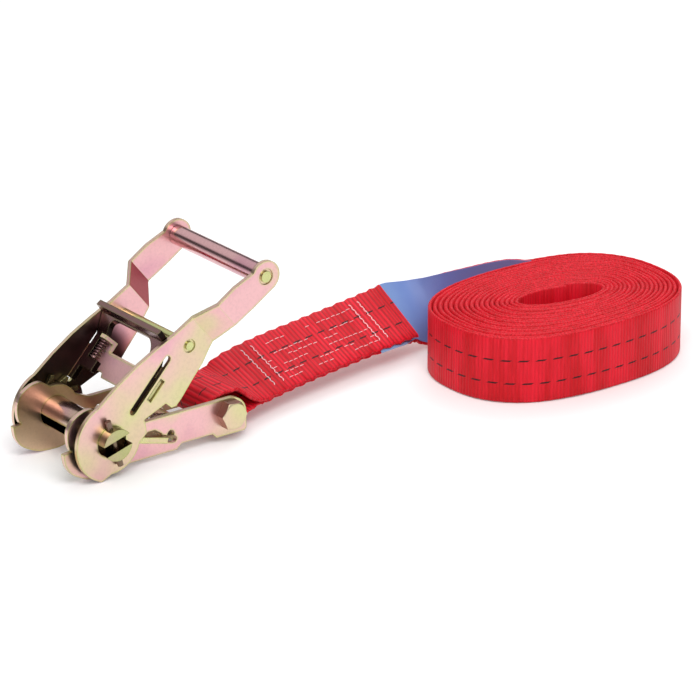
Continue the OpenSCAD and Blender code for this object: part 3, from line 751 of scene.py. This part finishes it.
zincFinish = {
    "pink": rgb(234, 186, 188),
    "violet": rgb(222, 168, 180),
    "beige": rgb(226, 204, 176),
    "green": rgb(208, 210, 148),
    "edge": rgb(202, 208, 132),
    "rim": rgb(112, 104, 74),       # the cut edge itself
    # dark: painted shade and dark reflection, mixed over a whole part by its dark share
    "dark": rgb(78, 52, 50),
    # near-black painted shade and dark reflection on inner faces near the spindle
    "grease": rgb(28, 17, 15),
    "edgeReach": 0.0026,
    "edgeGain": 9.0,
    "edgeStart": 0.96,              # of the rounded normal's product with the true one
    "rimReach": 0.0005,
    "rimGain": 5.0,
    "rimShare": 0.55,
    "patchScale": 34.0,
    "speckScale": 700.0,
    "wearScale": 120.0,
    "wear": (-0.05, 0.07),          # roughness less and more
    "innerFrom": -0.008,            # metres from the middle plane, times the normal's Y
    "innerShare": 0.6,
    # share of the painted reflection of the red webbing on slanted inner faces
    "foldShare": 0.8,
    "foldLimit": 0.93,              # a face is slanted where its normal's Y is less
    "endLimit": 0.7,                # and an end where it is more
    "gapFrom": -0.0003,             # metres from the Y axis, times the normal's share away from it
    # how that painted shade fades: its drift, the width of its fade and its depth
    "shadeEdgeDrift": 0.016,
    "shadeEdgeWidth": 0.012,
    "shadeDepthShare": 0.96,
    "roundEdge": 0.00035,
    "bumpDepth": 0.00003,
}


def zincSurface(name, greenShare, paintedDarkShare, roughness, edgeGreen=0.85, **special):
    # passivated zinc: two slow noises drift its tint between violet, pink, beige and green; green gathers
    # near edges, where the rounded normal leaves the true one, and the last bit of the edge is dull. The
    # dark share mixes "dark" over the whole part as painted shade and dark reflection. Special colours paint
    # light on some faces: "side", painted shade on those that don't look along Y, and "ends", painted shade
    # on those that do; "gap", painted shade where the normal points to the Y axis; "inner", painted light on
    # faces that look back at the middle plane; "fold", a painted reflection of the red webbing on the slanted
    # ones of these; and a near-black painted shade and dark reflection on these inner faces, out to the given
    # reach from the Y axis, by a smooth step of distance
    z = zincFinish
    g = Graph(name)
    coords = g.add("ShaderNodeTexCoord")
    place = coords.outputs["Object"]
    slow = g.noise(place, z["patchScale"], 2.0, 0.45)
    slower = g.noise(place, z["patchScale"] / 2, 2.0, 0.5)
    fine = g.noise(place, z["speckScale"], 3.0, 0.6)
    true = g.add("ShaderNodeNewGeometry").outputs["True Normal"]

    def nearEdge(reach, gain):
        rounded = g.add("ShaderNodeBevel", {"samples": 6}, Radius=reach).outputs[0]
        meet = g.add("ShaderNodeVectorMath", {"operation": "DOT_PRODUCT"}, i0=rounded, i1=true)
        lean = g.maths("MULTIPLY", g.maths("SUBTRACT", z["edgeStart"], meet.outputs["Value"]), gain)
        return g.add("ShaderNodeClamp", None, Value=lean).outputs[0]

    tint = g.ramp(slow, [(0.30, z["violet"]), (0.44, z["pink"]), (0.58, z["pink"]), (0.72, z["beige"])])
    patch = g.ramp(slower, [(max(0.0, 0.62 - greenShare * 0.3), (0, 0, 0, 1)),
                            (min(1.0, 0.86 - greenShare * 0.3), (1, 1, 1, 1))])
    colour = g.blend(patch, tint, z["green"])
    edges = g.maths("MULTIPLY", nearEdge(z["edgeReach"], z["edgeGain"]), edgeGreen)
    colour = g.blend(edges, colour, z["edge"])
    at = g.split(place)
    facing = g.split(coords.outputs["Normal"])
    alongY = g.maths("ABSOLUTE", facing[1])
    inner = g.maths("LESS_THAN", g.maths("MULTIPLY", facing[1], at[1]), z["innerFrom"])
    # painted shade: the side colour darkens faces that don't look along Y
    if "side" in special:
        colour = g.blend(g.maths("LESS_THAN", alongY, z["endLimit"]), colour, special["side"])
    # painted shade and dark reflection: the dark share darkens the whole part
    if paintedDarkShare > 0:
        colour = g.blend(paintedDarkShare, colour, z["dark"])
    # painted shade: near-black ends on faces that look along Y
    if "ends" in special:
        colour = g.blend(g.maths("GREATER_THAN", alongY, z["endLimit"]), colour, special["ends"])
    # painted shade: the gap colour on faces whose normal points to the Y axis, as in the spindle's split
    if "gap" in special:
        outward = g.maths("MULTIPLY_ADD", facing[0], at[0], g.maths("MULTIPLY", facing[2], at[2]))
        colour = g.blend(g.maths("LESS_THAN", outward, z["gapFrom"]), colour, special["gap"])
    # painted light: the inner colour on faces that look back at the middle plane
    if "inner" in special:
        colour = g.blend(g.maths("MULTIPLY", inner, z["innerShare"]), colour, special["inner"])
    # painted reflection: the red webbing's mirror image on the slanted inner faces
    if "fold" in special:
        slanted = g.maths("MULTIPLY", inner, g.maths("LESS_THAN", alongY, z["foldLimit"]))
        colour = g.blend(g.maths("MULTIPLY", slanted, z["foldShare"]), colour, special["fold"])
    # painted shade and dark reflection: near-black on inner faces, fading out with distance from the Y axis
    if "grease" in special:
        away = g.add("ShaderNodeVectorMath", {"operation": "LENGTH"}, i0=g.vector(at[0], 0.0, at[2]))
        reach = g.maths("MULTIPLY_ADD", slow, z["shadeEdgeDrift"], away.outputs["Value"])
        shadeFalloff = g.add("ShaderNodeMapRange", {"interpolation_type": "SMOOTHSTEP"}, Value=reach,
                     From_Min=special["grease"], From_Max=special["grease"] + z["shadeEdgeWidth"],
                     To_Min=z["shadeDepthShare"], To_Max=0.0)
        colour = g.blend(g.maths("MULTIPLY", inner, shadeFalloff.outputs[0]), colour, z["grease"])
    rims = g.maths("MULTIPLY", nearEdge(z["rimReach"], z["rimGain"]), z["rimShare"])
    colour = g.blend(rims, colour, z["rim"])
    speck = g.ramp(fine, [(0.32, (0.93, 0.93, 0.93, 1)), (0.55, (1, 1, 1, 1))])
    colour = g.blend(1.0, colour, speck, "MULTIPLY")
    rough = g.add("ShaderNodeMapRange", None, Value=g.noise(place, z["wearScale"], 2.0, 0.5),
                  To_Min=roughness + z["wear"][0], To_Max=roughness + z["wear"][1])
    small = g.add("ShaderNodeBevel", {"samples": 6}, Radius=z["roundEdge"]).outputs[0]
    return g.surface(colour, rough.outputs[0], g.bump(0.12, z["bumpDepth"], fine, Normal=small),
                     Metallic=special.get("metallic", 1.0))


webbingFinish = {
    "deep": rgb(208, 0, 20),
    "bright": rgb(240, 20, 46),
    # valley: dark red for the painted shade in the rib dips, and for the grain and the woven edge's dark
    # loops
    "valley": rgb(160, 0, 18),
    "loop": rgb(238, 32, 56),
    "tracer": rgb(30, 6, 12),
    "tracerLines": (0.0051, -0.0070),
    "tracerWidth": 0.00042,
    "dash": 0.0087,
    "dashShare": 0.56,
    "dashSlant": 1.6,
    "dashShift": 0.0021,            # of the second tracer against the first
    "warpPitch": 0.0007,
    "crossPitch": 0.0011,
    "bandScale": 62.0,              # the broad light and dark bands, and the fine ones
    "fineBandScale": 420.0,
    "grainScale": 900.0,
    "loopScale": 1500.0,
    "selvageFrom": 0.0161,          # from the band's middle to where the woven edge's loops begin
    "bumpDepth": 0.00022,
}


def webbingSurface():
    # u runs along the band and v across it, both in metres; ribs = 0.5 + 0.5 cos(2 pi phase); warp threads
    # are a fine sine of v; every third rib is lighter where the band is sewn, by the cosine of a third of
    # the phase; a tracer shows where |v - line| is small and the fraction of u / dash is under its share
    f = webbingFinish
    g = Graph("red_webbing")
    u, v = g.uvMap("strapMap")[:2]
    phase, sewn = g.uvMap("ribMap")[:2]
    wave = g.maths("COSINE", g.maths("MULTIPLY", phase, 2 * math.pi))
    ribs = g.maths("MULTIPLY_ADD", wave, 0.5, 0.5)
    warp = g.maths("SINE", g.maths("MULTIPLY", v, 2 * math.pi / f["warpPitch"]))
    swayed = g.maths("MULTIPLY_ADD", u, 2 * math.pi / f["crossPitch"], g.maths("MULTIPLY", warp, 1.2))
    cross = g.maths("SINE", swayed)
    flat = g.vector(u, g.maths("MULTIPLY", v, 0.10))
    fineBands = g.maths("MULTIPLY", g.noise(flat, f["fineBandScale"], 2.0, 0.6), 0.28)
    bands = g.maths("MULTIPLY_ADD", g.noise(flat, f["bandScale"], 2.0, 0.5), 0.72, fineBands)
    grain = g.noise(g.vector(g.maths("MULTIPLY", u, 2.2), v), f["grainScale"], 3.0, 0.6)
    tone = g.ramp(bands, [(0.42, f["deep"]), (0.56, f["bright"])])
    # painted shade: the dips between ribs darken towards the valley tone, more where the band is sewn
    dip = g.maths("POWER", g.maths("SUBTRACT", 1.0, ribs), 1.7)
    tone = g.blend(g.maths("MULTIPLY", dip, g.maths("MULTIPLY_ADD", sewn, 0.6, 0.25)), tone, f["valley"])
    third = g.maths("COSINE", g.maths("MULTIPLY", phase, 2 * math.pi / 3))
    third = g.maths("MULTIPLY", g.maths("MULTIPLY_ADD", third, 0.5, 0.5), sewn)
    tone = g.blend(g.maths("MULTIPLY", third, 0.2), tone, f["loop"])
    tone = g.blend(g.maths("MULTIPLY", grain, 0.10), tone, f["valley"])
    # the woven edge: small light and dark loops where |v| nears half the width
    selvage = g.maths("MULTIPLY", g.maths("SUBTRACT", g.maths("ABSOLUTE", v), f["selvageFrom"]), 2500.0)
    selvage = g.add("ShaderNodeClamp", None, Value=selvage).outputs[0]
    loops = g.ramp(g.noise(g.add("ShaderNodeTexCoord").outputs["Object"], f["loopScale"], 1.0, 0.5),
                   [(0.36, f["valley"]), (0.50, f["deep"]), (0.66, f["loop"])])
    tone = g.blend(g.maths("MULTIPLY", selvage, 0.55), tone, loops)
    mark = None
    for n, line in enumerate(f["tracerLines"]):
        away = g.maths("SUBTRACT", v, line)
        near = g.maths("LESS_THAN", g.maths("ABSOLUTE", away), f["tracerWidth"])
        slant = g.maths("MULTIPLY_ADD", away, f["dashSlant"], g.maths("ADD", u, f["dashShift"] * n))
        dash = g.maths("LESS_THAN", g.maths("FRACT", g.maths("DIVIDE", slant, f["dash"])), f["dashShare"])
        here = g.maths("MULTIPLY", near, dash)
        mark = here if mark is None else g.maths("MAXIMUM", mark, here)
    colour = g.blend(g.maths("MULTIPLY", mark, 0.96), tone, f["tracer"])
    height = g.maths("ADD", ribs, g.maths("MULTIPLY", warp, 0.10))
    height = g.maths("ADD", height, g.maths("MULTIPLY", cross, 0.16))
    height = g.maths("ADD", height, g.maths("MULTIPLY", grain, 0.5))
    return g.surface(colour, 0.55, g.bump(0.7, f["bumpDepth"], height), Specular_IOR_Level=0.3,
                     Sheen_Weight=0.04, Sheen_Roughness=0.4, Sheen_Tint=(1, 0.55, 0.6, 1))


labelFinish = {
    # colours along the label, as shares of its rampLength; the change from sky blue to violet blue is painted
    # light
    "along": [(0.15, rgb(136, 178, 226)), (0.36, rgb(108, 138, 204)),
              (0.55, rgb(104, 114, 182)), (0.95, rgb(134, 130, 182))],
    "rampLength": 0.12,
    "drift": 0.012,                 # how far the colours stray along it
    "driftScale": 60.0,
    "shade": rgb(60, 70, 130),
    "linePitch": 0.0005,
    "threadPitch": 0.0006,
    "bumpDepth": 0.00004,
}


def labelSurface():
    # smooth woven tape: its colour goes by u, plus a slow noise, over the ramp's length, a painted change of
    # light along it; the bump is a sine of u plus a sine of v, and the first of them shades the colour a
    # little
    f = labelFinish
    g = Graph("blue_label")
    u, v = g.uvMap("labelMap")[:2]
    slow = g.noise(g.vector(u, v), f["driftScale"], 2.0, 0.5)
    along = g.maths("MULTIPLY_ADD", slow, f["drift"], u)
    # painted light: the tone changes along the label
    tone = g.ramp(g.maths("MULTIPLY", along, 1 / f["rampLength"]), f["along"])
    lines = g.maths("SINE", g.maths("MULTIPLY", u, 2 * math.pi / f["linePitch"]))
    threads = g.maths("SINE", g.maths("MULTIPLY", v, 2 * math.pi / f["threadPitch"]))
    height = g.maths("ADD", lines, threads)
    tone = g.blend(g.maths("MULTIPLY_ADD", lines, 0.03, 0.03), tone, f["shade"])
    return g.surface(tone, 0.42, g.bump(0.25, f["bumpDepth"], height), Sheen_Weight=0.1)


threadFinish = {
    "light": rgb(250, 236, 238),
    "dark": rgb(226, 190, 196),
    "grainScale": 2500.0,
    "bumpDepth": 0.0001,
}


def threadSurface():
    # white polyester thread: one fine noise of place mixes its two tones and is its bump
    f = threadFinish
    g = Graph("white_thread")
    grain = g.noise(g.add("ShaderNodeTexCoord").outputs["Object"], f["grainScale"], 2.0, 0.6)
    return g.surface(g.blend(grain, f["light"], f["dark"]), 0.6, g.bump(0.4, f["bumpDepth"], grain))


# the second number of each zinc finish is its share of painted shade and dark reflection
finishes = {
    # painted light: beige on the frame plates' inner faces
    "framePlate": zincSurface("zinc_frame_plate", 0.25, 0.0, 0.30, inner=rgb(204, 190, 132)),
    # painted reflection of the red webbing on the slanted inner faces, and painted shade near the spindle
    "handlePlate": zincSurface("zinc_handle_plate", 0.38, 0.0, 0.30, grease=0.051, fold=rgb(188, 46, 60)),
    "sheet": zincSurface("zinc_sheet", 0.85, 0.0, 0.27),
    "handleWeb": zincSurface("zinc_handle_web", 0.6, 0.0, 0.4, metallic=0.0),
    # painted shade and dark reflection on the gears' inner faces near the spindle
    "gear": zincSurface("zinc_gear", 0.95, 0.42, 0.24, 0.7, grease=0.022),
    # painted shade: the handle pawl's near-black ends
    "handlePawl": zincSurface("zinc_handle_pawl", 0.25, 0.74, 0.22, 0.7, ends=rgb(30, 22, 20)),
    "rod": zincSurface("zinc_rod", 0.1, 0.10, 0.17, 0.1),
    # painted shade: the dark split faces of the spindle halves
    "spindle": zincSurface("zinc_spindle", 0.8, 0.30, 0.18, 0.6, gap=rgb(70, 36, 32)),
    "wire": zincSurface("zinc_wire", 0.5, 0.80, 0.25, 0.0),
    "rivet": zincSurface("zinc_rivet", 1.6, 0.05, 0.24, 0.2),
    # painted shade: darker side faces on the bolt head and nut
    "bolt": zincSurface("zinc_bolt", 0.5, 0.0, 0.28, 0.2, side=rgb(172, 126, 114)),
    "webbing": webbingSurface(),
    "label": labelSurface(),
    "thread": threadSurface(),
}
nodeFinish = {
    "framePlate": ["frame_plate_near", "frame_plate_far"],
    "handlePlate": ["handle_plate_near", "handle_plate_far"],
    "sheet": ["frame_web", "frame_pawl", "bolt_sleeve"],
    "handleWeb": ["handle_web"],
    "gear": ["gear_near", "gear_far"],
    "handlePawl": ["handle_pawl"],
    "rod": ["grip_tube"],
    "spindle": ["spindle_half_upper", "spindle_half_lower"],
    "wire": ["spindle_pin_near", "spindle_pin_far"],
    "rivet": ["handle_spacer", "grip_rivet"],
}


def paint(piece, material):
    piece.data.materials.clear()
    piece.data.materials.append(material)


def paintNode(name, material):
    for slotAt in nodes[name].material_slots:
        slotAt.material = material


for key, names in nodeFinish.items():
    for name in names:
        paintNode(name, finishes[key])
for piece in (sewnPiece, rolledPiece):
    paint(piece, finishes["webbing"])
paint(labelPiece, finishes["label"])
paint(threadPiece, finishes["thread"])
for piece in springPieces:
    paint(piece, finishes["wire"])
for piece in (boltPiece, nutPiece):
    paint(piece, finishes["bolt"])
print("finishes set")

# Studio: pale floor, one large soft lamp, and a world with a darker belt for the metal to mirror

studio = {
    "floorSize": 6.0,
    "floorTone": 0.9,
    "lampAt": (-0.35, -0.85, 1.25),
    "lampSize": 0.9,
    "lampPower": 12.5,
    "fillAt": (0.9, 0.5, 0.9),
    "fillSize": 0.8,
    "fillPower": 4.0,
    "lampsFace": (0.15, -0.02, 0.0),
    "worldLevel": 0.70,
    # grey levels that the metal mirrors, by the Z of the direction: 0 is level or below, 1 straight up
    "belt": [(0.0, 1.0), (0.08, 0.7), (0.18, 0.12), (0.40, 0.10), (0.50, 1.08), (1.0, 1.2)],
}


def buildFloor():
    # a pale diffuse floor, plus a glow that makes up for its tone, for camera, mirror and glass rays
    s = studio["floorSize"] / 2
    points = np.array([[-s, -s, floorZ], [s, -s, floorZ], [s, s, floorZ], [-s, s, floorZ]])
    mesh = bpy.data.meshes.new("floor")
    mesh.from_pydata(points.tolist(), [], [(0, 1, 2, 3)])
    floor = bpy.data.objects.new("floor", mesh)
    scene.collection.objects.link(floor)
    g = Graph("pale_floor")
    rays = g.add("ShaderNodeLightPath")
    tone = studio["floorTone"]
    diffuse = g.add("ShaderNodeBsdfDiffuse", None, Color=(tone, tone, tone, 1))
    seen = g.maths("MAXIMUM", rays.outputs["Is Camera Ray"], rays.outputs["Is Glossy Ray"])
    seen = g.maths("MAXIMUM", seen, rays.outputs["Is Transmission Ray"])
    glow = g.add("ShaderNodeEmission", None, Strength=g.maths("MULTIPLY", seen, 1 - tone + 0.02))
    both = g.add("ShaderNodeAddShader", None, i0=diffuse.outputs[0], i1=glow.outputs[0])
    g.put(g.out, "i0", both.outputs[0])
    mesh.materials.append(g.material)


def addLamp(name, at, size, power):
    data = bpy.data.lights.new(name, "AREA")
    data.shape = "SQUARE"
    data.size = size
    data.energy = power
    lamp = bpy.data.objects.new(name, data)
    lamp.location = at
    lamp.rotation_mode = "QUATERNION"
    lamp.rotation_quaternion = (Vector(studio["lampsFace"]) - Vector(at)).to_track_quat("-Z", "Y")
    scene.collection.objects.link(lamp)


def buildWorld():
    # the belt's grey levels as light and mirror image, and plain white to the camera
    world = bpy.data.worlds.new("studio")
    scene.world = world
    world.use_nodes = True
    tree = world.node_tree
    tree.nodes.clear()
    out = tree.nodes.new("ShaderNodeOutputWorld")
    rays = tree.nodes.new("ShaderNodeLightPath")
    place = tree.nodes.new("ShaderNodeTexCoord")
    parts = tree.nodes.new("ShaderNodeSeparateXYZ")
    tree.links.new(place.outputs["Generated"], parts.inputs[0])
    ramp = tree.nodes.new("ShaderNodeValToRGB")
    tree.links.new(parts.outputs[2], ramp.inputs[0])
    fillRamp(ramp.color_ramp, [(at, (level, level, level, 1)) for at, level in studio["belt"]])
    light = tree.nodes.new("ShaderNodeBackground")
    tree.links.new(ramp.outputs[0], light.inputs[0])
    light.inputs[1].default_value = studio["worldLevel"]
    white = tree.nodes.new("ShaderNodeBackground")
    white.inputs[0].default_value = (1, 1, 1, 1)
    mix = tree.nodes.new("ShaderNodeMixShader")
    tree.links.new(rays.outputs["Is Camera Ray"], mix.inputs[0])
    tree.links.new(light.outputs[0], mix.inputs[1])
    tree.links.new(white.outputs[0], mix.inputs[2])
    tree.links.new(mix.outputs[0], out.inputs[0])


buildFloor()
addLamp("key_lamp", studio["lampAt"], studio["lampSize"], studio["lampPower"])
addLamp("fill_lamp", studio["fillAt"], studio["fillSize"], studio["fillPower"])
buildWorld()
scene.view_settings.view_transform = "Standard"
print("studio set")
